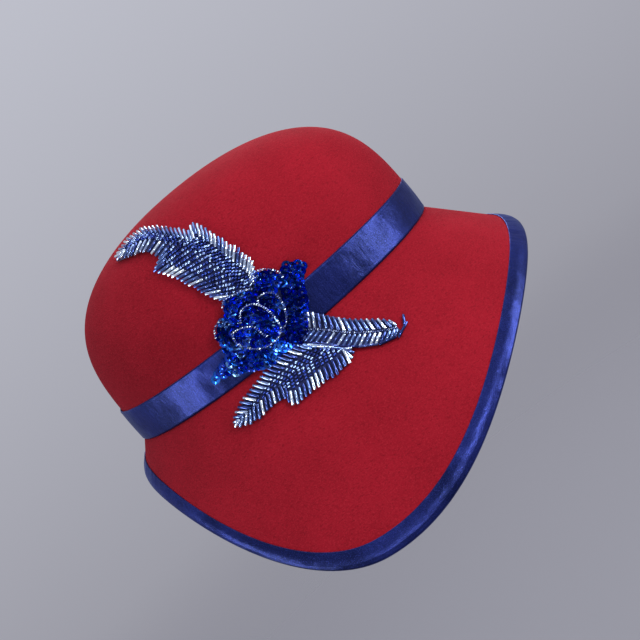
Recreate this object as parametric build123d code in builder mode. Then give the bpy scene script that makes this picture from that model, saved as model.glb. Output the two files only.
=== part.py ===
from build123d import *
from math import cos, exp, pi, radians, sin, sqrt, tan
import os

# A felt cloche. +Z runs up through the crown, -Y is the front, -X the wearer's right.
# The origin is the middle of the head opening, level with the brim break.

# Crown, in millimetres
crown_long = 102.0  # half the crown's length at the brim break
crown_wide = 85.0  # half its width there
crown_tall = 95.5
crown_round = 2.17  # how soon the dome turns in: 2 is an ellipse
crown_upright = 3.71  # how long the sides stay upright
felt = 2.4
profile_steps = 12

# Brim: slope length and flare round the head
brim_front = 47.5
brim_back = 19.0
lobe_long = 81.5  # what the dip over the right ear adds
lobe_at = 102.0  # degrees round from the front
lobe_front_turn = 2.4  # how quickly the dip fades, forwards
lobe_back_turn = 4.73  # and backwards
flare_front = 44.0  # degrees out from upright
flare_side = 28.0
flare_back = 37.4
section_step = 10  # degrees between the brim's sections

# Ribbons, wire and lining
ribbon_width = 20.0
ribbon_thick = 0.7
ribbon_clear = 0.1
headband_width = 25.0
headband_thick = 0.8
headband_rise = 1.5
binding_width = 10.0
binding_thick = 0.5
binding_clear = 0.1
wire_thick = 1.2
wire_sides = 8
wire_room = 1.5  # between the felt's cut edge and the binding's fold
bow_long = 16.0
bow_tall = 7.0
bow_thick = 1.2

# Beadwork, in layers measured out from the felt
ground_layer = (1.15, 1.55)
bead_layer = (1.6, 3.6)
bead_wide = 1.4
bugle_share = 0.55  # how much of a leaf's half width lies inside its bugle beads
trim_depth = 45.0  # how far down the brim the beadwork may reach
trim_from = 40  # degrees round from the front
trim_to = 140

full_turn = 360
half_turn = 180

os.makedirs("parts", exist_ok=True)


def save(part, label):
    part.label = label
    export_step(part, f"parts/{label}.step")


# ---- shape of the hat ----


def crown_radius(height, grow=0.0):
    """Half length of the crown at a height, with the whole profile grown outwards."""
    share = height / (crown_tall + grow)
    return (crown_long + grow) * (1 - share**crown_upright) ** (1 / crown_round)


def crown_profile(grow):
    """Profile points from the brim break to just short of the top."""
    top = crown_tall + grow
    heights = [top * sin(pi / 2 * step / profile_steps) for step in range(profile_steps)]
    return [(crown_radius(height, grow), height) for height in heights]


def brim_length(turn):
    away = (turn - lobe_at + half_turn) % full_turn - half_turn
    fade = lobe_front_turn if away < 0 else lobe_back_turn
    plain = brim_back + (brim_front - brim_back) * (1 + cos(radians(turn))) / 2
    return plain + lobe_long * exp(fade * (cos(radians(away)) - 1))


def brim_flare(turn):
    ahead = cos(radians(turn))
    ends = flare_front if ahead > 0 else flare_back
    return radians(ends * ahead**2 + flare_side * (1 - ahead**2))


def brim_plane(turn):
    """An upright plane square to the crown's edge: x runs outwards, y runs up."""
    angle = radians(turn)
    out = (-sin(angle) / crown_wide, -cos(angle) / crown_long)
    size = sqrt(out[0] ** 2 + out[1] ** 2)
    out = (out[0] / size, out[1] / size)
    edge = (-crown_wide * sin(angle), -crown_long * cos(angle), 0)
    return Plane(origin=edge, x_dir=(*out, 0), z_dir=(out[1], -out[0], 0))


def on_slope(turn, along, lift):
    """A point of a brim section: along the slope from the break, and lifted off the top face."""
    flare = brim_flare(turn)
    return (along * sin(flare) + lift * cos(flare), lift * sin(flare) - along * cos(flare))


def ring_loft(section):
    """Loft a section right round the head and back to where it began."""
    sections = [section(turn) for turn in range(0, full_turn, section_step)]
    with BuildPart() as ring:
        loft(sections + sections[:1])
    return ring.part


def cut_at(turn, points):
    """A straight-sided section of the brim or of something on it."""
    with BuildSketch(brim_plane(turn)) as cut:
        with BuildLine():
            Polyline(*points, close=True)
        make_face()
    return cut.sketch.face()


def crown_shell(inner, outer):
    """The crown's shell between two offsets of its profile."""
    with BuildPart() as shell:
        with BuildSketch(Plane.XZ):
            with BuildLine():
                faces = [(outer, 1), (inner, -1)]
                for grow, way in faces:
                    points = crown_profile(grow) + [(0, crown_tall + grow)]
                    Spline(*points, tangents=[(0, 1), (-1, 0)])
                Line((0, crown_tall + inner), (0, crown_tall + outer))
                Line((crown_long + inner, 0), (crown_long + outer, 0))
            make_face()
        revolve(axis=Axis.Z)
        scale(by=(crown_wide / crown_long, 1, 1))
    return shell.part


# ---- crown ----

with BuildPart() as crown:
    add(crown_shell(-felt, 0))
save(crown.part, "crown")

# ---- brim ----


def brim_section(turn):
    end = brim_length(turn) - wire_room - binding_thick
    flare = brim_flare(turn)
    points = [(0, 0), on_slope(turn, end, 0), on_slope(turn, end, -felt), (-felt / cos(flare), 0)]
    return cut_at(turn, points)


with BuildPart() as brim:
    add(ring_loft(brim_section))
save(brim.part, "brim")

# ---- brim wire, in the fold of the binding ----


def wire_section(turn):
    end = brim_length(turn) - binding_thick - wire_room / 2
    with BuildSketch(brim_plane(turn)) as cut:
        with Locations(on_slope(turn, end, -felt / 2)):
            RegularPolygon(wire_thick / 2, wire_sides)
    return cut.sketch.face()


with BuildPart() as brim_wire:
    add(ring_loft(wire_section))
save(brim_wire.part, "brim_wire")

# ---- satin binding folded round the brim edge ----


def binding_section(turn):
    end = brim_length(turn)
    start = end - binding_width
    inside = end - binding_thick
    near = binding_clear
    far = near + binding_thick
    corners = [
        (start, near), (start, far), (end, far), (end, -felt - far),
        (start, -felt - far), (start, -felt - near), (inside, -felt - near), (inside, near),
    ]
    return cut_at(turn, [on_slope(turn, *corner) for corner in corners])


with BuildPart() as brim_binding:
    add(ring_loft(binding_section))
save(brim_binding.part, "brim_binding")

# ---- hat band, over the join of crown and brim ----

with BuildPart() as hat_band:
    with BuildSketch(Plane.XY.offset(ribbon_clear)):
        band_out = ribbon_clear + ribbon_thick
        Ellipse(crown_wide + band_out, crown_long + band_out)
        Ellipse(crown_wide + ribbon_clear, crown_long + ribbon_clear, mode=Mode.SUBTRACT)
    extrude(amount=ribbon_width)
save(hat_band.part, "hat_band")

# ---- headband ribbon inside the crown ----

headband_top = headband_rise + headband_width
tuck = crown_long - crown_radius(headband_top, -felt) + ribbon_clear
with BuildPart() as headband:
    with BuildSketch(Plane.XY.offset(headband_rise)):
        Ellipse(crown_wide - tuck, crown_long - tuck)
        inner_tuck = tuck + headband_thick
        Ellipse(crown_wide - inner_tuck, crown_long - inner_tuck, mode=Mode.SUBTRACT)
    extrude(amount=headband_width)
save(headband.part, "headband")

# ---- small bow at the back of the headband ----

bow_back = crown_long - inner_tuck - ribbon_clear
bow_sag = bow_long**2 / 8 * crown_long / crown_wide**2
bow_middle = headband_rise + headband_width / 2
with BuildPart() as headband_bow:
    with BuildSketch(Plane.XZ.offset(bow_sag - bow_back)):
        with Locations((0, bow_middle)):
            Rectangle(bow_long, bow_tall)
    extrude(amount=bow_thick)
save(headband_bow.part, "headband_bow")

# ---- beadwork over the band, on the wearer's right ----

# Outlines as seen square on from that side: x runs forwards, y runs up.
side_view = Plane(origin=(0, 0, 0), x_dir=(0, -1, 0), z_dir=(-1, 0, 0))
reach = 150.0

# The flower's pieces, from the front one back; each lies against the ones before it.
flower_outlines = {
    "petal_1": [(-21.6, 22.7), (-22.7, 18), (-20, 12.5), (-15.5, 8.5), (-9.5, 7), (-10.5, 14), (-15, 21)],
    "petal_2": [(-15, 24), (-11.5, 28), (-7, 28.6), (-3, 25), (-1, 16), (-2.5, 9), (-9.5, 7), (-11.5, 18)],
    "petal_3": [(-3, 26), (0.5, 28.5), (5, 26), (6, 20), (3, 12), (-2, 9), (-2, 18)],
    "petal_4": [(1.5, 34.5), (4, 37.8), (8.5, 37.5), (13, 33), (13.5, 27), (8, 24), (2.5, 29)],
    "petal_5": [(-17.5, 34), (-14.5, 37.3), (-9, 36.6), (-1, 33.3), (-2, 28.5), (-10, 28), (-16, 29)],
    "petal_6": [(-29, 26), (-26, 30), (-20, 31), (-17, 25), (-20, 13), (-27, 15), (-30.5, 21)],
    "sequin_whorl": [(-12, 2.8), (-8.5, 6.5), (-4, 6), (-2.5, 2), (-5, -2), (-10, -2)],
    "sequin_leaf": [(18, 32.5), (27, 26), (23, 21), (15, 12), (5, 1), (-2, -2), (0, 7), (7, 17), (14, 27)],
    "sequin_tail": [(-31.5, 15.5), (-44, 8.7), (-33, 5.5), (-23, 1.4), (-13, -2), (-13, 6), (-22, 12)],
}
edged_petals = ("petal_1", "petal_2", "petal_3", "petal_4", "petal_5", "petal_6")

# Each leaf runs from its foot to its tip: the midrib's points, with the half width at each.
leaf_ribs = {
    "upper_leaf": [
        (-5, 37, 9), (-6, 50, 12), (-13, 65, 13.5), (-23, 78, 9), (-33, 85.3, 5), (-46, 85.6, 0.8),
    ],
    "lower_leaf": [
        (16.5, -20, 1.5), (8, -14, 9), (-7, -12.5, 10.5),
        (-22, -12.8, 9), (-36, -12.5, 5.5), (-50, -13.6, 1),
    ],
}
spray_outline = [
    (13, 7.7), (20, -2), (28, -10.5), (39, -19.5), (48, -24), (44.5, -28.5),
    (33, -28), (23, -23), (14.5, -16), (5, -6.5), (1.4, -2.8), (7, 3),
]
spray_midrib = [(4, 3), (13.8, -5.6), (23.1, -14.8), (35.6, -23.5), (42, -26.3)]
spray_stem = [(2, -1.5), (8, -8), (15.5, -14.8), (23, -21), (32, -26), (41, -28)]


def trim_section(layer, turn):
    """A brim section of one beadwork layer, mitred into the crown at the break."""
    mitre = tan(brim_flare(turn) / 2)
    low, high = layer
    points = [
        (low, low * mitre), on_slope(turn, trim_depth, low),
        on_slope(turn, trim_depth, high), (high, high * mitre),
    ]
    return cut_at(turn, points)


def trim_shell(layer):
    """One layer of the beadwork, over the crown's side and down the brim."""
    low, high = layer
    corner = low * tan(radians(flare_side) / 2)
    with BuildPart() as shell:
        add(crown_shell(low, high))
        split(bisect_by=Plane.XY.offset(corner), keep=Keep.TOP)
        loft([trim_section(layer, turn) for turn in range(trim_from, trim_to + 1, section_step)])
    return shell.part


def outline_face(points):
    with BuildSketch() as drawn:
        with BuildLine():
            Spline(*points, periodic=True)
        make_face()
    return drawn.sketch


def inset(points, amount):
    """The same outline with every point moved in towards the middle."""
    middle = Vector(*[sum(values) / len(points) for values in zip(*points)])
    moved = []
    for point in points:
        inwards = middle - Vector(*point)
        moved.append(Vector(*point) + inwards.normalized() * amount)
    return moved


def leaf_points(rib, share):
    """A leaf's outline at a share of its half width, up one side and down the other."""
    sides = ([], [])
    for index, (x, y, wide) in enumerate(rib):
        before = rib[max(index - 1, 0)]
        after = rib[min(index + 1, len(rib) - 1)]
        along = Vector(after[0] - before[0], after[1] - before[1]).normalized()
        across = Vector(-along.Y, along.X) * wide * share
        sides[0].append(Vector(x, y) + across)
        sides[1].append(Vector(x, y) - across)
    return sides[0] + sides[1][::-1]


def without(face, *others):
    with BuildSketch() as left:
        add(face)
        for other in others:
            add(other, mode=Mode.SUBTRACT)
    return left.sketch


def along_line(points, width, inside):
    """A strip that follows a line, kept within an outline."""
    with BuildSketch() as strip:
        with BuildLine():
            Spline(*points)
        trace(line_width=width)
        add(inside, mode=Mode.INTERSECT)
    return strip.sketch


def trim_piece(label, face, shell):
    """Cut one piece of beadwork out of its layer."""
    with BuildPart() as piece:
        with BuildSketch(side_view):
            add(face)
        extrude(amount=reach)
        add(shell, mode=Mode.INTERSECT)
    save(piece.part, label)


ground_shell = trim_shell(ground_layer)
bead_shell = trim_shell(bead_layer)

# ---- the flower: sequinned petals edged with beads, a sequinned leaf, whorl and tail ----

flower = []
for label, points in flower_outlines.items():
    face = without(outline_face(points), *flower)
    if label in edged_petals:
        middle = outline_face(inset(points, bead_wide))
        trim_piece(label, without(middle, *flower), bead_shell)
        trim_piece(f"{label}_edge", without(face, middle), bead_shell)
    else:
        trim_piece(label, face, bead_shell)
    flower.append(face)

with BuildSketch() as flower_whole:
    for face in flower:
        add(face)
trim_piece("flower_ground", flower_whole.sketch, ground_shell)

# ---- the spray: bugle beads each side of a beaded midrib, and a stem along the lower edge ----

spray = without(outline_face(spray_outline), *flower)
spray_lines = {"spray_midrib": spray_midrib, "spray_stem": spray_stem}
strips = {label: along_line(line, bead_wide, spray) for label, line in spray_lines.items()}
trim_piece("spray_ground", spray, ground_shell)
trim_piece("spray_bugles", without(spray, *strips.values()), bead_shell)
for label, strip in strips.items():
    trim_piece(label, strip, bead_shell)

# ---- the leaves: seed beads in the middle, bugle beads along both sides ----

for label, rib in leaf_ribs.items():
    leaf = without(outline_face(leaf_points(rib, 1.0)), spray, *flower)
    middle = without(outline_face(leaf_points(rib, bugle_share)), spray, *flower)
    trim_piece(f"{label}_ground", leaf, ground_shell)
    trim_piece(f"{label}_bugles", without(leaf, middle), bead_shell)
    trim_piece(f"{label}_beads", middle, bead_shell)
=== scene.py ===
import math
import random

import bpy
from mathutils import Matrix, Vector
from mathutils.bvhtree import BVHTree


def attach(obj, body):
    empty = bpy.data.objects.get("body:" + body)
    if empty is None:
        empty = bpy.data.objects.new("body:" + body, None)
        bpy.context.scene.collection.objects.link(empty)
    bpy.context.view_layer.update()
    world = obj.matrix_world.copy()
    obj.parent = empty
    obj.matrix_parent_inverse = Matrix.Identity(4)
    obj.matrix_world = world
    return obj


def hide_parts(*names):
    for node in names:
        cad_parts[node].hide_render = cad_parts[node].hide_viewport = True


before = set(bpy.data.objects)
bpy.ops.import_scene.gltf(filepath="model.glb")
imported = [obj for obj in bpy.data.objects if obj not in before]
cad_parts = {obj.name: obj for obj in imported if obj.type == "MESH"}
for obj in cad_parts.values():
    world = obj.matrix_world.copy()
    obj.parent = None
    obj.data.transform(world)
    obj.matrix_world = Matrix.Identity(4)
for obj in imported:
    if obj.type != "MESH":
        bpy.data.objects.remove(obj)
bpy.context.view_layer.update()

mm = 0.001

# The hat's shape. +Z is up, -Y the front, -X the wearer's right.
hat = {
    "long": 0.102, "wide": 0.085, "tall": 0.0955, "round": 2.17, "upright": 3.71, "felt": 0.0024,
    "brimFront": 0.0475, "brimBack": 0.019, "lobe": 0.0815, "lobeAt": math.radians(102.0),
    "lobeFrontTurn": 2.4, "lobeBackTurn": 4.73,
    "flareFront": math.radians(44.0), "flareSide": math.radians(28.0), "flareBack": math.radians(37.4),
}


def crownShare(height, grow=0.0):
    share = min(max(height / (hat["tall"] + grow), 0.0), 1.0)
    return (1 - share ** hat["upright"]) ** (1 / hat["round"])


def crownPoint(turn, height, grow=0.0):
    share = crownShare(height, grow)
    x = -(hat["wide"] + grow) * share * math.sin(turn)
    y = -(hat["long"] + grow) * share * math.cos(turn)
    return Vector((x, y, height))


def brimOut(turn):
    return Vector((-math.sin(turn) / hat["wide"], -math.cos(turn) / hat["long"], 0)).normalized()


def brimLength(turn):
    away = (turn - hat["lobeAt"] + math.pi) % (2 * math.pi) - math.pi
    fade = hat["lobeFrontTurn"] if away < 0 else hat["lobeBackTurn"]
    plain = hat["brimBack"] + (hat["brimFront"] - hat["brimBack"]) * (1 + math.cos(turn)) / 2
    return plain + hat["lobe"] * math.exp(fade * (math.cos(away) - 1))


def brimFlare(turn):
    ahead = math.cos(turn)
    ends = hat["flareFront"] if ahead > 0 else hat["flareBack"]
    return ends * ahead ** 2 + hat["flareSide"] * (1 - ahead ** 2)


# A point on the brim: along the slope from the break, lifted off its top face
def brimPoint(turn, along, lift=0.0):
    flare = brimFlare(turn)
    sideways = along * math.sin(flare) + lift * math.cos(flare)
    upwards = lift * math.sin(flare) - along * math.cos(flare)
    return crownPoint(turn, 0.0) + brimOut(turn) * sideways + Vector((0, 0, upwards))


def wallFaces(rings, turns):  # quads between one ring of points and the next
    faces = []
    for r in range(rings - 1):
        for i in range(turns):
            k = (i + 1) % turns
            faces.append((r * turns + i, r * turns + k, (r + 1) * turns + k, (r + 1) * turns + i))
    return faces


def newPiece(name, verts, faces, material, smooth=True, uvs=None):
    mesh = bpy.data.meshes.new(name)
    mesh.from_pydata([tuple(v) for v in verts], [], faces)
    mesh.update()
    if uvs:
        layer = mesh.uv_layers.new(name="flat")
        for loop in mesh.loops:
            layer.data[loop.index].uv = uvs[loop.vertex_index]
    mesh.materials.append(material)
    mesh.polygons.foreach_set("use_smooth", [smooth] * len(mesh.polygons))
    piece = bpy.data.objects.new(name, mesh)
    bpy.context.scene.collection.objects.link(piece)
    return piece


# Sweep a closed section right round the hat. section(turn) gives its points, in order
def ringSheet(name, section, steps, material, turns=360):
    verts, uvs = [], []
    for i in range(turns):
        turn = 2 * math.pi * i / turns
        points = section(turn)
        verts += points
        uvs += [(i / turns, j / steps) for j in range(steps)]
    faces = []
    for i in range(turns):
        k = (i + 1) % turns
        for j in range(steps):
            n = (j + 1) % steps
            faces.append((i * steps + j, i * steps + n, k * steps + n, k * steps + j))
    return newPiece(name, verts, faces, material, uvs=uvs)


def faceOutwards(piece):  # Turn a closed mesh's faces outwards, if its signed volume says they face in
    mesh = piece.data
    volume = 0.0
    for poly in mesh.polygons:
        a = mesh.vertices[poly.vertices[0]].co
        for m in range(1, len(poly.vertices) - 1):
            b = mesh.vertices[poly.vertices[m]].co
            c = mesh.vertices[poly.vertices[m + 1]].co
            volume += a.dot(b.cross(c))
    if volume < 0:
        mesh.flip_normals()
    return piece


def declare(piece, *nodes, slot):
    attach(piece, "root")
    if nodes:
        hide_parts(*nodes)
    return piece


def newMaterial(name, color, roughness, **settings):
    material = bpy.data.materials.new(name)
    material.use_nodes = True
    shader = material.node_tree.nodes["Principled BSDF"]
    shader.inputs["Base Color"].default_value = (*color, 1)
    shader.inputs["Roughness"].default_value = roughness
    for key, value in settings.items():
        shader.inputs[key.replace("_", " ")].default_value = value
    return material


def addNode(material, kind, **settings):
    node = material.node_tree.nodes.new(kind)
    for key, value in settings.items():
        setattr(node, key, value)
    return node


# A noise on the object's own coordinates, in waves per metre
def noise(material, scale, detail=3.0, rough=0.55, stretch=None):
    links = material.node_tree.links
    place = addNode(material, "ShaderNodeTexCoord")
    spread = addNode(material, "ShaderNodeMapping")
    spread.inputs["Scale"].default_value = stretch or (1, 1, 1)
    field = addNode(material, "ShaderNodeTexNoise")
    field.inputs["Scale"].default_value = scale
    field.inputs["Detail"].default_value = detail
    field.inputs["Roughness"].default_value = rough
    links.new(place.outputs["Object"], spread.inputs["Vector"])
    links.new(spread.outputs["Vector"], field.inputs["Vector"])
    return field.outputs["Fac"]


def ramp(material, source, stops):
    node = addNode(material, "ShaderNodeValToRGB")
    while len(node.color_ramp.elements) < len(stops):
        node.color_ramp.elements.new(0.5)
    for element, (at, color) in zip(node.color_ramp.elements, stops):
        element.position = at
        element.color = (*color, 1)
    material.node_tree.links.new(source, node.inputs["Fac"])
    return node.outputs["Color"]


def mix(material, a, b, share):
    node = addNode(material, "ShaderNodeMix", data_type="RGBA")
    links = material.node_tree.links
    for value, socket in ((a, node.inputs[6]), (b, node.inputs[7]), (share, node.inputs[0])):
        if hasattr(value, "is_linked"):
            links.new(value, socket)
        else:
            socket.default_value = value if isinstance(value, float) else (*value, 1)
    return node.outputs[2]


def bump(material, layers):  # Stack height fields into the normal: (field, depth in metres)
    links = material.node_tree.links
    last = None
    for field, depth in layers:
        node = addNode(material, "ShaderNodeBump")
        node.inputs["Distance"].default_value = depth
        links.new(field, node.inputs["Height"])
        if last:
            links.new(last, node.inputs["Normal"])
        last = node.outputs["Normal"]
    links.new(last, material.node_tree.nodes["Principled BSDF"].inputs["Normal"])


def setColor(material, color):
    material.node_tree.links.new(color, material.node_tree.nodes["Principled BSDF"].inputs["Base Color"])


def feltMaterial():
    felt = newMaterial(
        "feltRed", (0.31, 0.008, 0.017), 0.95, Specular_IOR_Level=0.06,
        Sheen_Weight=0.07, Sheen_Roughness=0.5, Sheen_Tint=(1.0, 0.12, 0.16, 1),
    )
    broad = noise(felt, 26, 3)
    speck = noise(felt, 1300, 4, 0.75)
    fibre = noise(felt, 520, 4, 0.7, (1.0, 1.0, 3.0))
    deep = ramp(felt, broad, [(0.3, (0.245, 0.0055, 0.0140)), (0.7, (0.315, 0.0080, 0.0195))])
    nap = ramp(felt, speck, [(0.48, (0, 0, 0)), (0.8, (0.75, 0.75, 0.75))])
    worn = mix(felt, deep, (0.46, 0.024, 0.038), nap)
    dark = ramp(felt, fibre, [(0.25, (0.75, 0.75, 0.75)), (0.48, (0, 0, 0))])
    setColor(felt, mix(felt, worn, (0.11, 0.002, 0.006), dark))
    bump(felt, [(speck, 0.0003), (fibre, 0.0003), (broad, 0.0007)])
    return felt


# Satin: deep blue with broad soft patches of painted shine, fine painted glints, and threads that run one way
# with painted shade in the grooves between them
def satinMaterial(name, across, dark, bright):
    satin = newMaterial(
        name, bright, 0.30, Specular_IOR_Level=0.6, Specular_Tint=(0.32, 0.45, 1.0, 1),
        Anisotropic=0.5, Sheen_Weight=0.05, Sheen_Roughness=0.25, Sheen_Tint=(0.30, 0.35, 1.0, 1),
        Metallic=0.6,
    )
    patches = noise(satin, 22, 2)
    creases = noise(satin, 90, 2)
    thread = noise(satin, 1500, 2, 0.6, across)
    sparkle = noise(satin, 2600, 1, 0.5)
    # painted shine: the broad patches lift the colour from dark to bright
    paintedLightTone = ramp(satin, patches, [(0.40, dark), (0.62, bright)])
    # painted glints: fine specks of the colour pushed up to a pale shine
    shine = tuple(min(c * 3.2 + 0.02, 0.9) for c in bright)
    glint = mix(satin, paintedLightTone, shine, ramp(satin, sparkle, [(0.5, (0, 0, 0)), (0.72, (0.42, 0.42, 0.42))]))
    # painted shade in the grooves between the threads
    shade = tuple(c * 0.5 for c in dark)
    grooves = ramp(satin, thread, [(0.3, (0.6, 0.6, 0.6)), (0.5, (0, 0, 0))])
    setColor(satin, mix(satin, glint, shade, grooves))
    bump(satin, [(patches, 0.0030), (creases, 0.0007), (thread, 0.00008)])
    return satin


def clothMaterial(name, color, light, scale):
    cloth = newMaterial(name, color, 0.8, Specular_IOR_Level=0.3, Sheen_Weight=0.2)
    weave = noise(cloth, scale, 2)
    setColor(cloth, ramp(cloth, weave, [(0.35, color), (0.7, light)]))
    bump(cloth, [(weave, 0.0002)])
    return cloth


# Silver-lined glass: each bead gets a random tone from dark to light, painted shade at the dark end and a
# painted highlight at the light end
def glassBeads(name, dark, middle, light, coat=0.4):
    glass = newMaterial(name, dark, 0.13, Metallic=0.9, Coat_Weight=coat, Coat_Roughness=0.05)
    paintedLightTone = addNode(glass, "ShaderNodeAttribute", attribute_name="paintedLightTone")
    setColor(glass, ramp(glass, paintedLightTone.outputs["Fac"], [(0.05, dark), (0.5, middle), (0.92, light)]))
    return glass


def sequinFoil():  # Metallised foil: painted shade in the cup's middle and at its very rim, and random tones up to a pale painted glint
    foil = newMaterial(
        "sequinFoil", (0.0, 0.03, 0.42), 0.17, Metallic=0.95, Coat_Weight=0.6, Coat_Roughness=0.05,
    )
    paintedLightTone = addNode(foil, "ShaderNodeAttribute", attribute_name="paintedLightTone")
    rim = addNode(foil, "ShaderNodeAttribute", attribute_name="rim")
    # painted glints: each sequin's random tone runs from deep blue up to a pale cyan glint
    paintedGlintTone = ramp(foil, paintedLightTone.outputs["Fac"], [
        (0.0, (0.0, 0.03, 0.42)), (0.45, (0.002, 0.085, 0.76)),
        (0.78, (0.02, 0.24, 0.95)), (1.0, (0.34, 0.66, 1.0)),
    ])
    # painted shade: darkens the middle of the cup and a thin line along the very rim
    cup = ramp(foil, rim.outputs["Fac"], [
        (0.25, (0.9, 0.9, 0.9)), (0.5, (0, 0, 0)), (0.88, (0, 0, 0)), (1.0, (0.8, 0.8, 0.8)),
    ])
    setColor(foil, mix(foil, paintedGlintTone, (0.0, 0.004, 0.085), cup))
    return foil


feltSizes = {"turns": 360, "rise": 64, "innerRise": 32, "slope": 40, "wobble": 0.0004}


def wobble(turn, height):  # The slight unevenness that blocking leaves in felt
    waves = math.sin(3 * turn + 1.0 + 30 * height) + 0.6 * math.sin(5 * turn + 2.0 - 45 * height)
    return feltSizes["wobble"] * waves * 0.5


def crownWall(grow, steps, turns):  # Rings of points from the break to near the top, then the top itself
    rings = []
    top = hat["tall"] + grow
    for j in range(steps):
        height = top * math.sin(math.pi / 2 * j / steps)
        fade = min(1.0, j / 8)
        ring = []
        for i in range(turns):
            turn = 2 * math.pi * i / turns
            point = crownPoint(turn, height, grow)
            ring.append(point + brimOut(turn) * wobble(turn, height) * fade * crownShare(height, grow))
        rings.append(ring)
    return rings, Vector((0, 0, top))


def buildCrown(felt):
    turns = feltSizes["turns"]
    outer, outerTop = crownWall(0.0, feltSizes["rise"], turns)
    inner, innerTop = crownWall(-hat["felt"], feltSizes["innerRise"], turns)
    rings = outer[::-1] + inner
    verts = [p for ring in rings for p in ring] + [outerTop, innerTop]
    faces = wallFaces(len(rings), turns)
    last = (len(rings) - 1) * turns
    for i in range(turns):
        k = (i + 1) % turns
        faces.append((len(verts) - 2, k, i))
        faces.append((len(verts) - 1, last + i, last + k))
    crown = faceOutwards(newPiece("feltCrown", verts, faces, felt))
    return declare(crown, "crown", slot="felt")


edgeSizes = {"fold": 0.0009, "binding": 0.010, "thick": 0.0005, "clear": 0.00005}


def brimEnd(turn):
    return brimLength(turn) - edgeSizes["fold"] - edgeSizes["thick"]


def buildBrim(felt):
    steps = feltSizes["slope"]

    def section(turn):
        end = brimEnd(turn)
        top = [brimPoint(turn, end * j / steps) for j in range(steps + 1)]
        shift = -hat["felt"] / math.cos(brimFlare(turn))
        foot = crownPoint(turn, 0.0) + brimOut(turn) * shift
        low = [brimPoint(turn, end * j / steps, -hat["felt"]) for j in range(steps, 0, -1)]
        return top + low + [foot]

    brim = faceOutwards(ringSheet("feltBrim", section, 2 * steps + 2, felt))
    return declare(brim, "brim", slot="felt")


bindingSizes = {"pucker": 0.00010, "puckers": 96, "puff": 0.0006, "flat": 16, "bend": 10}


# Satin folded over the edge: out along the top, round the fold, and back underneath
def buildBinding(satin):
    flat, bend = bindingSizes["flat"], bindingSizes["bend"]
    middle = -hat["felt"] / 2

    def layer(turn, thick):
        end = brimLength(turn)
        radius = hat["felt"] / 2 + edgeSizes["clear"] + thick
        centre = end - hat["felt"] / 2 - edgeSizes["thick"]
        start = end - edgeSizes["binding"]
        puckers = bindingSizes["puckers"] * turn
        drawn = math.sin(puckers) + 0.7 * math.sin(2.3 * puckers + 1)
        path = []
        for j in range(flat):
            along = start + (centre - start) * j / flat
            fade = math.exp(-((along - start) / 0.0025) ** 2) * 0.6 + 0.25
            puff = bindingSizes["puff"] * math.sin(math.pi * min(j / flat * 0.8, 1.0)) ** 1.5
            path.append((along, radius + puff + drawn * bindingSizes["pucker"] * fade * (thick > 0)))
        for j in range(bend + 1):
            angle = math.pi * j / bend
            path.append((centre + radius * math.sin(angle), radius * math.cos(angle)))
        for j in range(1, flat + 1):
            path.append((centre + (start - centre) * j / flat, -radius))
        return [brimPoint(turn, along, middle + lift) for along, lift in path]

    def section(turn):
        return layer(turn, edgeSizes["thick"]) + layer(turn, 0.0)[::-1]

    steps = 2 * (2 * flat + bend + 1)
    binding = faceOutwards(ringSheet("satinBinding", section, steps, satin, turns=720))
    declare(binding, "brim_binding", slot="satin_binding")
    return binding


ribbon = {"width": 0.020, "thick": 0.0006, "clear": 0.0001, "selvage": 0.00012, "rise": 22, "ease": 0.00025}


def ellipsePoint(turn, grow, height):
    x = -(hat["wide"] + grow) * math.sin(turn)
    y = -(hat["long"] + grow) * math.cos(turn)
    return Vector((x, y, height))


def buildRibbon(satin):
    steps = ribbon["rise"]
    base = ribbon["clear"]

    def bulge(turn, share):  # The ribbon eases out a little where it isn't pulled tight
        waves = math.sin(7 * turn + 0.4) + 0.8 * math.sin(11 * turn + 2.0) + 0.5 * math.sin(23 * turn)
        return ribbon["ease"] * (1.2 + 0.5 * waves) * math.sin(math.pi * share) ** 0.7

    def section(turn):
        sway = 0.00025 * math.sin(2 * turn + 0.7)
        outer, inner = [], []
        for j in range(steps + 1):
            share = j / steps
            height = base + 0.0002 + sway * share + ribbon["width"] * share
            rim = 1.0 if 0 < j < steps else 0.55
            selvage = ribbon["selvage"] if j in (1, steps - 1) else 0.0
            swell = bulge(turn, share)
            outer.append(ellipsePoint(turn, base + ribbon["thick"] * rim + swell + selvage, height))
            inner.append(ellipsePoint(turn, base + swell * 0.8, height))
        return outer + inner[::-1]

    band = faceOutwards(ringSheet("satinRibbon", section, 2 * (steps + 1), satin, turns=480))
    declare(band, "hat_band", slot="satin_ribbon")
    return band


lining = {"width": 0.025, "rise": 0.0015, "thick": 0.0007, "tuck": 0.0029, "rib": 0.00007, "ribs": 480}


def buildHeadband(cloth):  # A ribbed ribbon sewn inside the crown, eased by its ribs
    steps = 12

    def section(turn):
        ridge = lining["rib"] * (1 + math.cos(lining["ribs"] * turn))
        outer, inner = [], []
        for j in range(steps + 1):
            height = lining["rise"] + lining["width"] * j / steps
            lean = 0.0005 * math.sin(9 * turn + 1) * (j / steps) ** 2
            tuck = -lining["tuck"] - lean - 0.0003
            outer.append(ellipsePoint(turn, tuck, height))
            inner.append(ellipsePoint(turn, tuck - lining["thick"] - ridge, height))
        return outer + inner[::-1]

    band = faceOutwards(ringSheet("headbandRibbon", section, 2 * (steps + 1), cloth, turns=1440))
    declare(band, "headband", slot="grosgrain")
    return band


bowSizes = {
    "half": 0.0085, "tall": 0.006, "loop": 0.0011, "thick": 0.0004, "curve": 8.8, "loopOff": 0.0016,
    "knot": 0.0028, "knotDeep": 0.0016, "knotTall": 0.0022, "knotOff": 0.0018, "clear": 0.0004,
}


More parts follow.
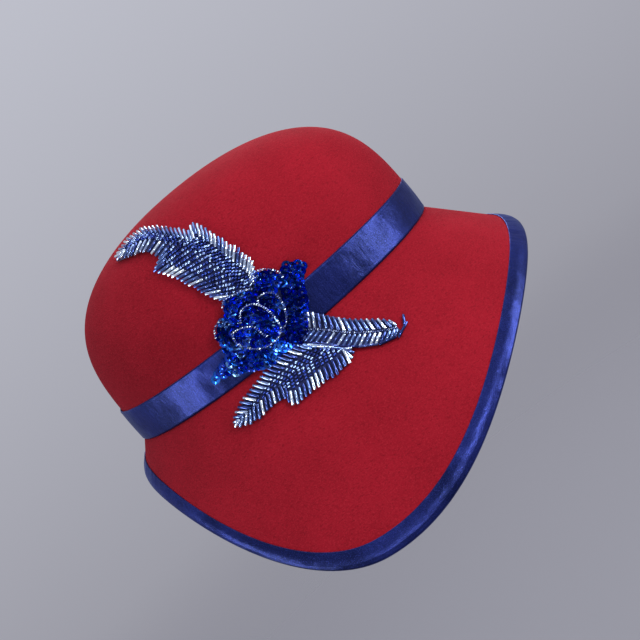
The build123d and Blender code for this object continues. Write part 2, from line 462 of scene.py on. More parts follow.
def buildBow(cloth):  # The small flat bow that marks the back of the headband: two loops and a knot
    verts, faces = [], []
    steps, rows = 20, 5
    backY = hat["long"] - lining["tuck"] - lining["thick"] - bowSizes["clear"]
    middle = lining["rise"] + lining["width"] / 2
    for side in (-1, 1):
        for skin in (1, -1):
            start = len(verts)
            for i in range(steps):
                angle = 2 * math.pi * i / steps
                reach = bowSizes["half"] * (0.5 + 0.5 * math.cos(angle))
                puff = bowSizes["loop"] * math.sin(angle) * math.sqrt(max(reach / bowSizes["half"], 0))
                pinch = 0.55 + 0.45 * (reach / bowSizes["half"]) ** 0.7
                for j in range(rows):
                    up = bowSizes["tall"] * (j / (rows - 1) - 0.5) * pinch
                    depth = puff + skin * bowSizes["thick"] / 2 * math.copysign(1, math.sin(angle) or 1)
                    y = backY - bowSizes["loopOff"] + depth - bowSizes["curve"] * reach ** 2
                    verts.append(Vector((side * reach, y, middle + up)))
            for i in range(steps):
                k = (i + 1) % steps
                for j in range(rows - 1):
                    a, b = start + i * rows + j, start + k * rows + j
                    quad = (a, b, b + 1, a + 1)
                    faces.append(quad if side * skin > 0 else quad[::-1])
    start = len(verts)
    for x in (-1, 1):
        for y in (-1, 1):
            for z in (-1, 1):
                across, up = x * bowSizes["knot"] / 2, z * bowSizes["knotTall"]
                back = backY - bowSizes["knotOff"] + y * bowSizes["knotDeep"]
                verts.append(Vector((across, back, middle + up)))
    for quad in ((0, 1, 3, 2), (4, 6, 7, 5), (0, 4, 5, 1), (2, 3, 7, 6), (0, 2, 6, 4), (1, 5, 7, 3)):
        faces.append(tuple(start + v for v in quad))
    bow = newPiece("headbandBow", verts, faces, cloth)
    return declare(bow, "headband_bow", slot="grosgrain")


skinSizes = {"turns": 240, "rise": 60, "slope": 40, "overRibbon": 0.0003, "overBrim": 0.0005}


def skinTree():  # The outside of the crown and brim, to lay the beadwork on
    turns, rise, slope = skinSizes["turns"], skinSizes["rise"], skinSizes["slope"]
    lift = ribbon["clear"] + ribbon["thick"] + skinSizes["overRibbon"]
    rings = []
    for j in range(rise):
        height = (hat["tall"] + lift) * math.sin(math.pi / 2 * (1 - (j + 1) / rise))
        rings.append([crownPoint(2 * math.pi * i / turns, height, lift) for i in range(turns)])
    for j in range(1, slope + 1):
        ring = []
        for i in range(turns):
            turn = 2 * math.pi * i / turns
            ring.append(brimPoint(turn, brimLength(turn) * j / slope, skinSizes["overBrim"]))
        rings.append(ring)
    return BVHTree.FromPolygons([tuple(p) for ring in rings for p in ring], wallFaces(len(rings), turns))


skin = skinTree()
sideRay = {"from": -0.3, "soften": 0.0022}


# Where a point seen square on from the wearer's right lies on the hat, softened over the break
def touch(forward, up):
    place, normal = Vector((0, 0, 0)), Vector((0, 0, 0))
    step = sideRay["soften"]
    hits = 0
    for dx, dz in ((0, 0), (step, 0), (-step, 0), (0, step), (0, -step)):
        source = Vector((sideRay["from"], -(forward + dx), up + dz))
        hit, facing, _, _ = skin.ray_cast(source, Vector((1, 0, 0)))
        if hit is None:
            continue
        if facing.x > 0:
            facing = -facing
        place += hit
        normal += facing
        hits += 1
    if hits == 0:
        return Vector((0, -forward, up)), Vector((0, 0, 1))
    exact = place / hits
    return Vector((exact.x, -forward, up)), normal.normalized()


def lay(point, lift):  # A side-view point in metres, lifted off the hat
    place, normal = touch(point[0], point[1])
    return place + normal * lift, normal


# A smooth curve through points of any size, evenly walked between them
def smoothLine(points, closed=False, each=10):
    count = len(points)
    line = []
    spans = count if closed else count - 1
    for s in range(spans):
        if closed:
            p = [points[(s + d) % count] for d in (-1, 0, 1, 2)]
        else:
            p = [points[min(max(s + d, 0), count - 1)] for d in (-1, 0, 1, 2)]
        for k in range(each):
            t = k / each
            line.append(tuple(
                0.5 * (2 * b + (c - a) * t + (2 * a - 5 * b + 4 * c - d) * t * t
                       + (3 * b - a - 3 * c + d) * t ** 3)
                for a, b, c, d in zip(*p)
            ))
    if not closed:
        line.append(tuple(points[-1]))
    return line


# Places at even distances along a line of 3D points, each with its direction
def walk(points, spacing, start=0.0):
    places = []
    wanted = start
    gone = 0.0
    for a, b in zip(points, points[1:]):
        span = (b - a).length
        while span > 0 and wanted <= gone + span:
            places.append((a.lerp(b, (wanted - gone) / span), (b - a).normalized()))
            wanted += spacing
        gone += span
    return places


def lineLength(points):
    return sum((b - a).length for a, b in zip(points, points[1:]))


# A small round shape about its own Z axis. The profile is a closed loop of (radius, height)
def lathe(name, profile, sides, material):
    verts, faces = [], []
    for i in range(sides):
        angle = 2 * math.pi * i / sides
        verts += [(r * math.cos(angle), r * math.sin(angle), z) for r, z in profile]
    count = len(profile)
    for i in range(sides):
        k = (i + 1) % sides
        for j in range(count):
            n = (j + 1) % count
            faces.append((i * count + j, k * count + j, k * count + n, i * count + n))
    shape = newPiece(name, verts, faces, material, smooth=False)
    faceOutwards(shape)
    shape.hide_render = True
    shape.hide_viewport = True
    return shape


# Puts one copy of a shape on every point: its Z along 'aim', its X towards 'face', with a random tone that
# the bead and sequin finishes paint as highlight and shade
def placingTree():
    tree = bpy.data.node_groups.new("placeShapes", "GeometryNodeTree")
    for name, kind in (("Places", "NodeSocketGeometry"), ("Shape", "NodeSocketObject"),
                       ("Finish", "NodeSocketMaterial"), ("Tone seed", "NodeSocketInt")):
        tree.interface.new_socket(name=name, in_out="INPUT", socket_type=kind)
    tree.interface.new_socket(name="Placed", in_out="OUTPUT", socket_type="NodeSocketGeometry")
    nodes, links = tree.nodes, tree.links
    given = nodes.new("NodeGroupInput")
    result = nodes.new("NodeGroupOutput")
    info = nodes.new("GeometryNodeObjectInfo")
    put = nodes.new("GeometryNodeInstanceOnPoints")
    turnTo = nodes.new("FunctionNodeAxesToRotation")
    turnTo.primary_axis = "Z"
    turnTo.secondary_axis = "X"
    stored = {}
    for key in ("aim", "face", "size"):
        stored[key] = nodes.new("GeometryNodeInputNamedAttribute")
        stored[key].data_type = "FLOAT_VECTOR"
        stored[key].inputs["Name"].default_value = key
    paintedLightTone = nodes.new("FunctionNodeRandomValue")
    store = nodes.new("GeometryNodeStoreNamedAttribute")
    store.domain = "INSTANCE"
    store.inputs["Name"].default_value = "paintedLightTone"
    real = nodes.new("GeometryNodeRealizeInstances")
    finish = nodes.new("GeometryNodeSetMaterial")
    for source, way, target, into in (
        (given, "Shape", info, "Object"),
        (given, "Places", put, "Points"),
        (info, "Geometry", put, "Instance"),
        (stored["aim"], "Attribute", turnTo, "Primary Axis"),
        (stored["face"], "Attribute", turnTo, "Secondary Axis"),
        (turnTo, "Rotation", put, "Rotation"),
        (stored["size"], "Attribute", put, "Scale"),
        (given, "Tone seed", paintedLightTone, "Seed"),
        (put, "Instances", store, "Geometry"),
        (paintedLightTone, 1, store, "Value"),
        (store, "Geometry", real, "Geometry"),
        (real, "Geometry", finish, "Geometry"),
        (given, "Finish", finish, "Material"),
        (finish, "Geometry", result, "Placed"),
    ):
        links.new(source.outputs[way], target.inputs[into])
    return tree


placing = placingTree()


# places is a list of (position, aim, face, size). Returns one plain mesh of all the copies
def placeShapes(name, places, shape, material, seed, smooth=True):
    cloud = bpy.data.meshes.new(name + "Places")
    cloud.from_pydata([tuple(place[0]) for place in places], [], [])
    for index, key in ((1, "aim"), (2, "face"), (3, "size")):
        layer = cloud.attributes.new(key, "FLOAT_VECTOR", "POINT")
        layer.data.foreach_set("vector", [c for place in places for c in place[index]])
    source = bpy.data.objects.new(name + "Source", cloud)
    bpy.context.scene.collection.objects.link(source)
    modifier = source.modifiers.new("place", "NODES")
    modifier.node_group = placing
    asked = [item for item in placing.interface.items_tree if item.in_out == "INPUT"]
    sockets = {item.name: item.identifier for item in asked}
    modifier[sockets["Shape"]] = shape
    modifier[sockets["Finish"]] = material
    modifier[sockets["Tone seed"]] = seed
    bpy.context.view_layer.update()
    ready = source.evaluated_get(bpy.context.evaluated_depsgraph_get())
    mesh = bpy.data.meshes.new_from_object(ready)
    bpy.data.objects.remove(source)
    piece = bpy.data.objects.new(name, mesh)
    mesh.name = name
    bpy.context.scene.collection.objects.link(piece)
    mesh.polygons.foreach_set("use_smooth", [smooth] * len(mesh.polygons))
    return piece


def addBeads(name, node, slot, places, shape, material, seed):
    declare(placeShapes(name, places, shape, material, seed), node, slot=slot)


beads = {
    "bugleLong": 0.0070, "bugleWide": 0.00155, "seedWide": 0.0017, "edgeWide": 0.0012, "stemLong": 0.0092,
    "groundLift": 0.0004, "beadLift": 0.0013, "sequinLift": 0.0016, "edgeLift": 0.0036,
    "sequinWide": 0.0051, "sequinTilt": 24,
}


def bugleShape(material):
    r, h = 0.5, 0.5
    profile = [(r * 0.45, -h), (r * 0.9, -h), (r, -h * 0.97), (r, h * 0.97), (r * 0.9, h), (r * 0.45, h)]
    return lathe("bugleShape", profile, 10, material)


def seedShape(material):
    profile = [
        (0.18, -0.30), (0.34, -0.36), (0.48, -0.20), (0.5, 0.0), (0.48, 0.20), (0.34, 0.36), (0.18, 0.30),
    ]
    return lathe("seedShape", profile, 8, material)


# A cupped, facetted disc with a hole, one unit across, that knows how near its rim each point is
def sequinShape(material):
    cup, thick = 0.13, 0.02
    top = [(0.10, 0.0), (0.24, 0.01), (0.38, cup * 0.5), (0.5, cup)]
    low = [(r, z - thick) for r, z in top[::-1]]
    shape = lathe("sequinShape", top + low, 14, material)
    rim = shape.data.attributes.new("rim", "FLOAT", "POINT")
    rim.data.foreach_set("value", [min(v.co.xy.length * 2, 1.0) for v in shape.data.vertices])
    sharp = shape.data.attributes.new("sharp_edge", "BOOLEAN", "EDGE")
    outer = {v.index for v in shape.data.vertices if v.co.xy.length > 0.49}
    sharp.data.foreach_set("value", [outer.issuperset(line.vertices) for line in shape.data.edges])
    return shape


jitter = random.Random(7)

# The whole flower's outline, in side-view millimetres.
flowerOutline = [
    (18.5, 32), (26.5, 26), (23, 21.5), (19, 19.5), (15.5, 11.5), (9.5, 3), (3, -2.2), (-3, -2.8),
    (-12, -2), (-18, -1.4), (-23, 1.6), (-33, 6), (-43, 8.9), (-34, 13.2), (-30, 16),
    (-30, 21.7), (-28.6, 25.6), (-26.3, 29),
    (-21, 30.8), (-17, 34.5), (-14.8, 36.7), (-10, 36.3), (-3.6, 34.6), (1.8, 34.8), (3.3, 36.8),
    (7.1, 37.5), (11.2, 34.7), (13.8, 30.8),
]


def inside(point, outline):
    x, z = point
    found = False
    for (ax, az), (bx, bz) in zip(outline, outline[1:] + outline[:1]):
        if (az > z) != (bz > z) and x < (bx - ax) * (z - az) / (bz - az) + ax:
            found = not found
    return found


def sideSpot(place):
    return (-place.y, place.z)


def underFlower(place):
    return inside((-place.y / mm, place.z / mm), flowerOutline)


def bugleAt(a, b, normal, wide):  # A bugle bead that runs from one point to another
    aim = (b - a).normalized()
    return ((a + b) / 2, aim, normal, Vector((wide, wide, (b - a).length)))


def seedAt(place, along, normal, wide):
    twist = Vector((jitter.uniform(-1, 1), jitter.uniform(-1, 1), jitter.uniform(-1, 1))) * 0.22
    size = wide * jitter.uniform(0.9, 1.08)
    return (place, (along + twist).normalized(), normal, Vector((size, size, size)))


# Each leaf seen from the wearer's right, in millimetres, forwards then up, from foot to tip:
# its rib, and its two edges, each with the notch where one lobe ends and the next begins.
leafLines = {
    "upperLeaf": {
        "rib": [(-5, 33.5), (-6, 50), (-10.5, 65), (-19.5, 77), (-29, 84.5), (-45, 85.3)],
        "fore": [
            (4, 33.5), (8, 44), (6.5, 52), (4, 58), (1.8, 66), (-2.5, 75), (-7, 73.5),
            (-11.5, 78.5), (-17, 83.8), (-25.5, 88.9), (-36, 89.3), (-46.5, 85.7),
        ],
        "aft": [
            (-13.5, 34.5), (-18.5, 42.5), (-22, 51), (-27, 61), (-32.5, 69), (-27, 71.5),
            (-28, 76.5), (-33, 80.2), (-39, 82), (-46.5, 84.7),
        ],
    },
    "lowerLeaf": {
        "rib": [(14.5, -17.5), (8, -13.8), (-7, -11.6), (-22, -11.8), (-36, -12.4), (-50, -14)],
        "fore": [
            (17.8, -18), (18, -21.5), (13, -24.5), (5, -24.6), (-4.5, -23.6), (-12.5, -23.8), (-19.5, -24),
            (-22, -22.5), (-21.5, -18.6), (-28, -17.6), (-36, -18.4), (-44, -18), (-51.5, -14.6),
        ],
        "aft": [
            (12, -14.5), (6, -8.5), (0, -3), (-5, -1.6), (-12, -1.2), (-18, -1.8), (-25, -3),
            (-32, -5.2), (-40, -6.6), (-46, -9.8), (-51, -13.6),
        ],
    },
}
leafSizes = {"barbGap": 0.00275, "fringe": 0.0074, "sweep": 0.13, "netRows": 60, "netColumns": 14}


# The point at a share of a side-view line's length, counted by its points' real spacing
def metres(points):
    return [(x * mm, z * mm) for x, z in points]


def between(a, b, share):
    return (a[0] + (b[0] - a[0]) * share, a[1] + (b[1] - a[1]) * share)


def alongLine(points, share):
    spans = [math.dist(a, b) for a, b in zip(points, points[1:])]
    wanted = min(max(share, 0.0), 1.0) * sum(spans)
    for a, b, span in zip(points, points[1:], spans):
        if wanted <= span:
            return between(a, b, wanted / span)
        wanted -= span
    return points[-1]


def inMetres(points, closed=False, each=8):
    return metres(smoothLine(points, closed=closed, each=each))


# Barbs as lines of 3D points, from the rib out to one edge, swept towards the tip
def leafBarbs(lines, edgeName):
    rib = inMetres(lines["rib"])
    edgeLine = metres(lines[edgeName])
    edgeLong = lineLength([lay(p, beads["beadLift"])[0] for p in edgeLine])
    count = int(edgeLong / leafSizes["barbGap"])
    barbs = []
    for n in range(count):
        share = (n + 0.6) / count
        foot = alongLine(rib, share * 1.02 - leafSizes["sweep"] * (1 - 0.55 * share))
        end = alongLine(edgeLine, share)
        barb, normals = [], []
        for k in range(11):
            place, normal = lay(between(foot, end, k / 10), beads["beadLift"])
            barb.append(place)
            normals.append(normal)
        barbs.append((barb, normals))
    return barbs


# A thin closed sheet through a grid of side-view points laid on the hat
def groundPatch(name, grid, material, thick=0.0004):
    rows, cols = len(grid), len(grid[0])
    verts = [lay(p, beads["groundLift"])[0] for row in grid for p in row]
    verts += [lay(p, beads["groundLift"] - thick)[0] for row in grid for p in row]
    under = rows * cols
    faces = []
    for r in range(rows - 1):
        for c in range(cols - 1):
            a = r * cols + c
            faces.append((a, a + 1, a + cols + 1, a + cols))
            faces.append((under + a, under + a + cols, under + a + cols + 1, under + a + 1))
    border = [c for c in range(cols)] + [r * cols + cols - 1 for r in range(1, rows)]
    border += [(rows - 1) * cols + c for c in range(cols - 2, -1, -1)]
    border += [r * cols for r in range(rows - 2, 0, -1)]
    for a, b in zip(border, border[1:] + border[:1]):
        faces.append((a, under + a, under + b, b))
    return faceOutwards(newPiece(name, verts, faces, material))


def buildLeaf(name, node, shapes, looks, seed):
    lines = leafLines[name]
    fore, aft = metres(lines["fore"]), metres(lines["aft"])
    rows, cols = leafSizes["netRows"], leafSizes["netColumns"]
    grid = []
    for u in range(rows + 1):
        a, b = alongLine(fore, u / rows), alongLine(aft, u / rows)
        grid.append([between(a, b, v / cols) for v in range(1, cols)])
    ground = groundPatch(name + "Net", grid, looks["net"])
    declare(ground, node + "_ground", slot="net")
    bugles, seeds = [], []
    for edgeName in ("fore", "aft"):
        for barb, normals in leafBarbs(lines, edgeName):
            total = lineLength(barb)
            cut = max(total - leafSizes["fringe"] * jitter.uniform(0.94, 1.04), 0.0)
            outer = barb[-1] + (barb[-1] - barb[-2]).normalized() * jitter.uniform(-0.0004, 0.0006)
            inner = walk(barb, total, cut)[0][0] if cut > 0 else barb[0]
            lift = normals[-1] * jitter.uniform(0.0, 0.0003)
            if (outer - inner).length > 0.003 and not underFlower((inner + outer) / 2):
                bugles.append(bugleAt(inner + lift, outer + lift, normals[-1], beads["bugleWide"]))
            first = beads["seedWide"] * jitter.uniform(0.35, 0.65)
            for place, along in walk(barb, beads["seedWide"] * 0.98, first):
                if (place - barb[0]).length < cut - beads["seedWide"] * 0.45 and not underFlower(place):
                    rise = normals[5] * jitter.uniform(-0.0001, 0.0003)
                    seeds.append(seedAt(place + rise, along, normals[5], beads["seedWide"]))
    addBeads(name + "Bugles", node + "_bugles", "bugle_beads", bugles, shapes["bugle"], looks["bugle"], seed)
    addBeads(name + "Seeds", node + "_beads", "seed_beads", seeds, shapes["seed"], looks["seed"], seed + 1)
    print(name, len(bugles), "bugles", len(seeds), "seed beads")


sprayLines = {
    "upper": [(13, 7.7), (19.5, -1.2), (27.5, -10), (38.5, -19), (42, -24)],
    "midrib": [(6, 1.6), (13.8, -5.6), (23.1, -14.8), (35.6, -23.5), (42, -26.3)],
    "stem": [(1.5, -2.6), (8, -8.9), (15, -16), (23, -22.3), (32, -27.2), (41, -29), (45.5, -27.5)],
    "tip": [(48, -24), (44.8, -28.2)],
}


# How many bugles each side of the midrib, and how far each row is swept back from it.
sprayRows = {
    "upper": {"count": 16, "sweep": 0.035, "gap": 0.6},
    "lower": {"count": 19, "sweep": 0.05, "gap": 0.6},
}
sprayNet = {"rows": 40, "columns": 8, "reach": 0.93}


def laid(points, lift):
    return [lay(p, lift)[0] for p in points]


def buildSpray(shapes, looks):
    upper, midrib, stem = (inMetres(sprayLines[name]) for name in ("upper", "midrib", "stem"))
    body = stem[: int(len(stem) * 0.86)]
    rows, cols = sprayNet["rows"], sprayNet["columns"]
    grid = []
    for r in range(rows + 1):
        a, b = alongLine(upper, r / rows), alongLine(stem, r / rows * sprayNet["reach"])
        grid.append([between(a, b, c / cols) for c in range(cols + 1)])
    ground = groundPatch("sprayNet", grid, looks["net"])
    declare(ground, "spray_ground", slot="net")
    bugles = []
    for edgeLine, row in ((upper, sprayRows["upper"]), (body, sprayRows["lower"])):
        for n in range(row["count"]):
            share = (n + 0.5) / row["count"]
            outer, normal = lay(alongLine(edgeLine, share - row["sweep"]), beads["beadLift"])
            inner, _ = lay(alongLine(midrib, share + row["sweep"]), beads["beadLift"])
            reach = (inner - outer).length
            gap = beads["bugleWide"] * row["gap"]
            if reach > gap + 0.002:
                way = (inner - outer) / reach
                start = inner - way * gap
                end = start - way * min(reach - gap, beads["bugleLong"] * 1.1)
                bugles.append(bugleAt(start, end, normal, beads["bugleWide"]))
    tip = laid(metres(sprayLines["tip"]), beads["beadLift"])
    bugles.append(bugleAt(tip[0], tip[1], lay((0.046, -0.026), 0)[1], beads["bugleWide"]))
    addBeads("sprayBugles", "spray_bugles", "bugle_beads", bugles, shapes["bugle"], looks["bugle"], 21)
    rib = [seedAt(p, d, lay((-p.y, p.z), 0)[1], beads["edgeWide"]) for p, d in
           walk(laid(midrib, beads["beadLift"] + 0.0004), beads["edgeWide"] * 0.95)]
    addBeads("sprayMidrib", "spray_midrib", "silver_beads", rib, shapes["seed"], looks["silver"], 22)
    stemPoints = laid(stem, beads["beadLift"])
    tubes = []
    for place, along in walk(stemPoints, beads["stemLong"] * 1.04, beads["stemLong"] / 2):
        half = along * beads["stemLong"] / 2
        tubes.append(bugleAt(place - half, place + half, lay((-place.y, place.z), 0)[1], beads["bugleWide"]))
    addBeads("sprayStem", "spray_stem", "bugle_beads", tubes, shapes["bugle"], looks["darkBugle"], 23)
    print("spray", len(bugles), "bugles")


# The flower's parts, the front one first, in side-view millimetres. A petal's sequins lie in arcs inside
# its edge, drawn in towards its heart; a strip's lie in rows between its two sides.
flowerParts = {
    "petal_1": {
        "sides": (
            [(-21.6, 22.7), (-16.7, 22.2), (-11.6, 18.7), (-10.5, 13.6), (-7, 11), (-1.7, 10.5)],
            [
                (-21.6, 22.7), (-22.7, 18.2), (-20.4, 12.9), (-15.9, 8.6), (-10.6, 6.9), (-4.8, 7.6),
                (-1.7, 10.5),
            ],
        ),
        "rows": 2, "lift": 0.0013,
        "beaded": (
            "side",
            [(-21.6, 22.7), (-16.7, 22.2), (-11.6, 18.7), (-10.5, 13.6), (-9.1, 10.4)],
        ),
    },
    "petal_2": {
        "edge": [
            (-15.1, 24.2), (-11.9, 28.3), (-7.4, 28.6), (-3.9, 26.4), (-1.6, 21.2), (-1, 15.3), (-1.7, 10.5),
        ],
        "heart": (-10, 13), "lift": 0.0010, "beaded": ("edge",),
    },
    "petal_3": {
        "edge": [
            (-2.8, 26.2), (-1.1, 28.2), (2.6, 27.8), (5.7, 25.1), (6.2, 20), (4.5, 14.7), (1.6, 10.4),
            (-1.6, 9),
        ],
        "heart": (-4, 18), "lift": 0.0007, "beaded": ("edge",),
    },
    "petal_4": {
        "edge": [(-1.5, 31), (1.6, 35), (3.1, 37.3), (7.1, 38), (11.4, 35.1), (14, 31), (13.6, 26)],
        "heart": (5, 24), "lift": 0.0005,
        "beaded": ([(1.6, 34.6), (3.1, 37.3), (7.1, 38), (11.4, 35.1), (14, 31), (13.6, 27.3)],),
    },
    "petal_5": {
        "edge": [(-20, 30), (-17.2, 35.3), (-14.8, 37.3), (-10, 36.8), (-3.6, 34.8), (1, 33.3)],
        "heart": (-9, 22), "lift": 0.0004,
        "beaded": ([(-17.2, 35.3), (-14.8, 37.3), (-10, 36.8), (-3.6, 34.8), (-0.9, 33.3)],),
    },
    "petal_6": {
        "edge": [
            (-25, 10), (-29.3, 14.6), (-30.8, 20), (-29.2, 25.9), (-26.7, 29.5), (-23.5, 30.9), (-18, 32.5),
        ],
        "heart": (-15, 20), "lift": 0.0002,
        "beaded": ([(-29, 25.9), (-26.7, 29.5), (-23.5, 30.9), (-21.2, 31.2)],),
    },
    "sequin_whorl": {
        "edge": [
            (-2.3, 2.8), (-3.8, 6.3), (-7.3, 7.8), (-10.8, 6.3), (-12.3, 2.8), (-10.8, -0.7), (-7.3, -2.2),
            (-3.8, -0.7), (-2.5, 1.5),
        ],
        "heart": (-7.3, 2.8), "lift": 0.0003, "beaded": (),
    },
    "sequin_leaf": {
        "sides": (
            [(18.3, 32.5), (12, 27), (7, 17), (3, 11), (-2, 7)],
            [(27.2, 26), (20, 20.2), (16, 12), (9.5, 3.2), (3, -2.2), (-3, -2.8)],
        ),
        "rows": 4, "lift": 0.0, "beaded": (),
    },
    "sequin_tail": {
        "sides": (
            [(-43, 9.8), (-34.3, 14), (-29, 15), (-20, 10), (-12, 7)],
            [(-43.5, 8.2), (-32.9, 5.5), (-23.1, 1.2), (-17.9, -1.9), (-10, -2.2)],
        ),
        "rows": 4, "lift": 0.0, "beaded": (),
    },
}
sequinSizes = {"first": 0.0015, "column": 0.0041, "step": 0.0027, "apart": 0.0022}


def petalRows(part):  # Columns of side-view points, each from just inside the edge in to the heart
    heart = Vector(part["heart"]) * mm
    rim = [Vector((x, z, 0)) for x, z in inMetres(part["edge"])]
    columns = []
    for start, _ in walk(rim, sequinSizes["column"], sequinSizes["first"]):
        away = heart - start.xy
        first = start.xy + away * min(sequinSizes["first"] / away.length, 0.5)
        columns.append([tuple(first.lerp(heart, n / 12)) for n in range(13)])
    return columns


def stripRows(part):
    near, far = (inMetres(side) for side in part["sides"])
    rows = []
    for r in range(part["rows"]):
        share = (r + 0.5) / part["rows"]
        rows.append([
            tuple(Vector(alongLine(near, n / 40)).lerp(Vector(alongLine(far, n / 40)), share))
            for n in range(41)
        ])
    return rows


def partOutline(part):
    if "edge" in part:
        return inMetres(part["edge"]) + [(part["heart"][0] * mm, part["heart"][1] * mm)]
    near, far = (inMetres(side) for side in part["sides"])
    return near + far[::-1]


def sequinPlaces(part, before):  # Overlapping sequins along each row, kept off the parts in front
    rows = petalRows(part) if "edge" in part else stripRows(part)
    tilt = math.radians(beads["sequinTilt"])
    places = []
    for r, row in enumerate(rows):
        line = laid(row, beads["sequinLift"] + part["lift"])
        for spot, along in walk(line, sequinSizes["step"], sequinSizes["step"] * 0.4 * (r % 2)):
            if any(inside(sideSpot(spot), other) for other in before):
                continue
            if any((spot - other[0]).length < sequinSizes["apart"] for other in places):
                continue
            normal = lay(sideSpot(spot), 0.0)[1]
            cross = normal.cross(along)
            lean = tilt + jitter.uniform(-0.1, 0.1)
            roll = jitter.uniform(-0.13, 0.13)
            aim = (normal * math.cos(lean) + along * math.sin(lean) + cross * roll).normalized()
            width = beads["sequinWide"] * jitter.uniform(0.95, 1.03)
            twist = along * math.cos(roll * 9) + cross * math.sin(roll * 9)
            shift = (along * jitter.uniform(-1, 1) + cross * jitter.uniform(-1, 1)) * 0.0002
            places.append((spot + shift, aim, twist, Vector((width, width, width))))
    return places


# The net under the flower: rings of points drawn in from its outline to its middle
def outlineGround(outline, material):
    verts, faces = [], []
    rings = 12
    middle = Vector((-6, 14)) * mm
    count = len(outline)
    for lift in (beads["groundLift"], 0.0):
        verts.append(lay(tuple(middle), lift)[0])
        for r in range(1, rings + 1):
            verts += [lay(tuple(middle.lerp(Vector(p), r / rings)), lift)[0] for p in outline]
    half = 1 + rings * count
    for i in range(count):
        k = (i + 1) % count
        for base, flip in ((0, False), (half, True)):
            cap = (base, base + 1 + i, base + 1 + k)
            faces.append(cap[::-1] if flip else cap)
            for r in range(rings - 1):
                a, b = base + 1 + r * count, base + 1 + (r + 1) * count
                quad = (a + i, b + i, b + k, a + k)
                faces.append(quad[::-1] if flip else quad)
        last = 1 + (rings - 1) * count
        faces.append((last + i, last + half + i, last + half + k, last + k))
    return faceOutwards(newPiece("flowerNet", verts, faces, material))


def edgingLine(part, line):  # a petal's whole edge, its outer side, or a line of its own
    if line == "edge":
        return part["edge"]
    return part["sides"][1] if line == "side" else line


def buildFlower(shapes, looks):
    net = outlineGround(inMetres(flowerOutline, closed=True, each=4), looks["net"])
    declare(net, "flower_ground", slot="net")
    before = []
    total = 0
    for seed, (name, part) in enumerate(flowerParts.items()):
        places = sequinPlaces(part, before)
        total += len(places)
        words = name.split("_")
        pieceName = words[0] + words[1].capitalize()
        addBeads(pieceName, name, "sequins", places, shapes["sequin"], looks["sequin"], 40 + seed)
        edging = []
        for line in part["beaded"]:
            points = laid(inMetres(edgingLine(part, line)), beads["edgeLift"] + part["lift"])
            edging += [seedAt(p, d, lay(sideSpot(p), 0)[1], beads["edgeWide"])
                       for p, d in walk(points, beads["edgeWide"] * 1.02)]
        if edging:
            names = (pieceName + "Edge", name + "_edge", "silver_beads")
            addBeads(*names, edging, shapes["seed"], looks["silver"], 60 + seed)
        before.append(partOutline(part))
    print("flower", total, "sequins")


feltRed = feltMaterial()
ribbonSatin = satinMaterial("ribbonSatin", (1, 1, 0.15), (0.002, 0.004, 0.040), (0.011, 0.017, 0.125))
bindingSatin = satinMaterial("bindingSatin", (1, 1, 1), (0.002, 0.004, 0.040), (0.011, 0.017, 0.125))
headbandCloth = clothMaterial("headbandCloth", (0.012, 0.016, 0.075), (0.03, 0.04, 0.15), 1600)
buildCrown(feltRed)
buildBrim(feltRed)
print("felt done")
buildBinding(bindingSatin)
buildRibbon(ribbonSatin)
buildHeadband(headbandCloth)
buildBow(headbandCloth)
print("ribbons done")

looks = {
    "net": clothMaterial("beadingNet", (0.006, 0.010, 0.07), (0.018, 0.028, 0.15), 1400),
    "bugle": glassBeads("bugleGlass", (0.03, 0.055, 0.24), (0.15, 0.24, 0.54), (0.72, 0.83, 0.97)),
    "darkBugle": glassBeads("stemGlass", (0.008, 0.014, 0.09), (0.02, 0.035, 0.17), (0.07, 0.10, 0.30), 0.15),
    "seed": glassBeads("seedGlass", (0.006, 0.014, 0.12), (0.035, 0.075, 0.38), (0.42, 0.58, 0.92), 0.15),
    "silver": glassBeads("silverGlass", (0.02, 0.035, 0.15), (0.13, 0.17, 0.36), (0.62, 0.70, 0.85), 0.2),
    "sequin": sequinFoil(),
}
shapes = {
    "bugle": bugleShape(looks["bugle"]),
    "seed": seedShape(looks["seed"]),
    "sequin": sequinShape(looks["sequin"]),
}
buildLeaf("upperLeaf", "upper_leaf", shapes, looks, 11)
buildLeaf("lowerLeaf", "lower_leaf", shapes, looks, 13)
buildSpray(shapes, looks)
buildFlower(shapes, looks)
for shape in shapes.values():
    bpy.data.objects.remove(shape)
steel = newMaterial("wireSteel", (0.55, 0.55, 0.56), 0.35, Metallic=1.0)
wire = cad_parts["brim_wire"]
wire.data.materials.clear()
wire.data.materials.append(steel)

stageSizes = {"floor": -0.42, "radius": 1.6}


def buildFloor():
    pale = newMaterial("paleFloor", (0.28, 0.28, 0.31), 0.8, Specular_IOR_Level=0.2)
    place = addNode(pale, "ShaderNodeTexCoord")
    flat = addNode(pale, "ShaderNodeVectorMath", operation="MULTIPLY")
    flat.inputs[1].default_value = (1, 1, 0)
    away = addNode(pale, "ShaderNodeVectorMath", operation="LENGTH")
    fade = addNode(pale, "ShaderNodeMapRange", interpolation_type="SMOOTHSTEP")
    fades = {"From Min": 0.1, "From Max": stageSizes["radius"], "To Min": 1.0, "To Max": 0.0}
    for key, value in fades.items():
        fade.inputs[key].default_value = value
    links = pale.node_tree.links
    links.new(place.outputs["Object"], flat.inputs[0])
    links.new(flat.outputs["Vector"], away.inputs[0])
    links.new(away.outputs["Value"], fade.inputs["Value"])
    links.new(fade.outputs["Result"], pale.node_tree.nodes["Principled BSDF"].inputs["Alpha"])
    bpy.ops.mesh.primitive_circle_add(vertices=128, radius=stageSizes["radius"], fill_type="NGON")
    floor = bpy.context.object
    floor.name = "floor"
    floor.data.transform(Matrix.Translation((0, 0, stageSizes["floor"])))
    floor.data.materials.append(pale)


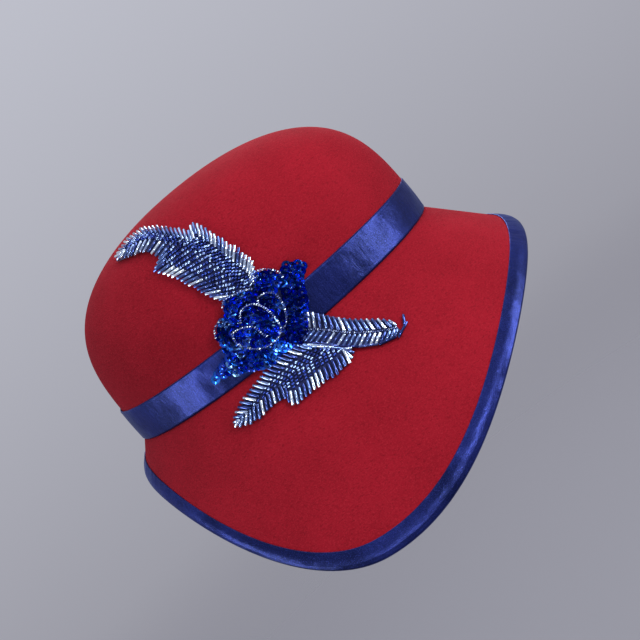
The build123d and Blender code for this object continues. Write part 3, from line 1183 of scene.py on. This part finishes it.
def areaLight(name, place, size, power, color, lights=("diffuse", "glossy")):
    lamp = bpy.data.lights.new(name, "AREA")
    lamp.shape = "RECTANGLE"
    lamp.size, lamp.size_y = size
    lamp.energy = power
    lamp.color = color
    holder = bpy.data.objects.new(name, lamp)
    holder.location = place
    holder.rotation_euler = (-Vector(place)).to_track_quat("-Z", "Y").to_euler()
    holder.visible_diffuse = "diffuse" in lights
    holder.visible_glossy = "glossy" in lights
    bpy.context.scene.collection.objects.link(holder)


def buildWorld():
    bpy.context.scene.view_settings.view_transform = "Standard"
    world = bpy.data.worlds.new("studio")
    world.use_nodes = True
    nodes, links = world.node_tree.nodes, world.node_tree.links
    direction = nodes.new("ShaderNodeTexCoord")
    parts = nodes.new("ShaderNodeSeparateXYZ")
    shade = nodes.new("ShaderNodeMapRange")
    shade.inputs["From Min"].default_value = -0.48
    shade.inputs["From Max"].default_value = 0.24
    tint = nodes.new("ShaderNodeValToRGB")
    tint.color_ramp.elements[0].color = (0.235, 0.23, 0.27, 1)
    tint.color_ramp.elements[1].color = (0.52, 0.53, 0.60, 1)
    links.new(direction.outputs["Generated"], parts.inputs["Vector"])
    links.new(parts.outputs["Z"], shade.inputs["Value"])
    links.new(shade.outputs["Result"], tint.inputs["Fac"])
    links.new(tint.outputs["Color"], nodes["Background"].inputs["Color"])
    bpy.context.scene.world = world


cameraSizes = {
    "azimuth": -90.8, "elevation": 9.0, "roll": -39.5, "distance": 0.637, "lens": 62.66,
    "target": (0, -0.0163, -0.0136),
}


def buildCamera():  # From the wearer's right, a little above, and rolled so that the hat tips forwards
    azimuth, elevation, roll = (math.radians(cameraSizes[key]) for key in ("azimuth", "elevation", "roll"))
    level = math.cos(elevation)
    back = Vector((math.sin(azimuth) * level, -math.cos(azimuth) * level, math.sin(elevation)))
    target = Vector(cameraSizes["target"])
    right = (-back).cross(Vector((0, 0, 1))).normalized()
    up = right.cross(-back)
    turnedRight = right * math.cos(roll) + up * math.sin(roll)
    turnedUp = up * math.cos(roll) - right * math.sin(roll)
    lens = bpy.data.cameras.new("mainCamera")
    lens.sensor_width = 36
    lens.lens = cameraSizes["lens"]
    camera = bpy.data.objects.new("mainCamera", lens)
    place = target + back * cameraSizes["distance"]
    facing = Matrix((turnedRight, turnedUp, back)).transposed().to_4x4()
    camera.matrix_world = Matrix.Translation(place) @ facing
    bpy.context.scene.collection.objects.link(camera)
    bpy.context.scene.camera = camera


buildFloor()
buildWorld()
areaLight("key", (-0.85, -0.85, 0.45), (0.6, 0.6), 10.4, (1.0, 0.98, 0.96), ("diffuse",))
areaLight("fill", (-0.9, 0.7, 0.15), (0.9, 0.9), 3.0, (0.92, 0.95, 1.0), ("diffuse",))
areaLight("top", (0.1, -0.2, 1.1), (0.8, 0.8), 3.5, (1, 1, 1))
areaLight("far", (0.9, -0.3, 0.5), (0.4, 0.5), 4, (1, 1, 1))
areaLight("frontShine", (-0.34, -0.94, 0.15), (0.30, 0.9), 10.5, (0.95, 0.97, 1.0), ("glossy",))
areaLight("sparkleHigh", (-1.0, -0.35, 0.55), (0.15, 0.15), 3.2, (1, 1, 1), ("glossy",))
areaLight("sparkleLow", (-1.05, 0.30, 0.20), (0.13, 0.13), 1.8, (1, 1, 1), ("glossy",))
areaLight("backShine", (-0.37, 0.93, 0.10), (0.28, 0.9), 8, (0.95, 0.97, 1.0), ("glossy",))
buildCamera()
print("floor, light and camera done")
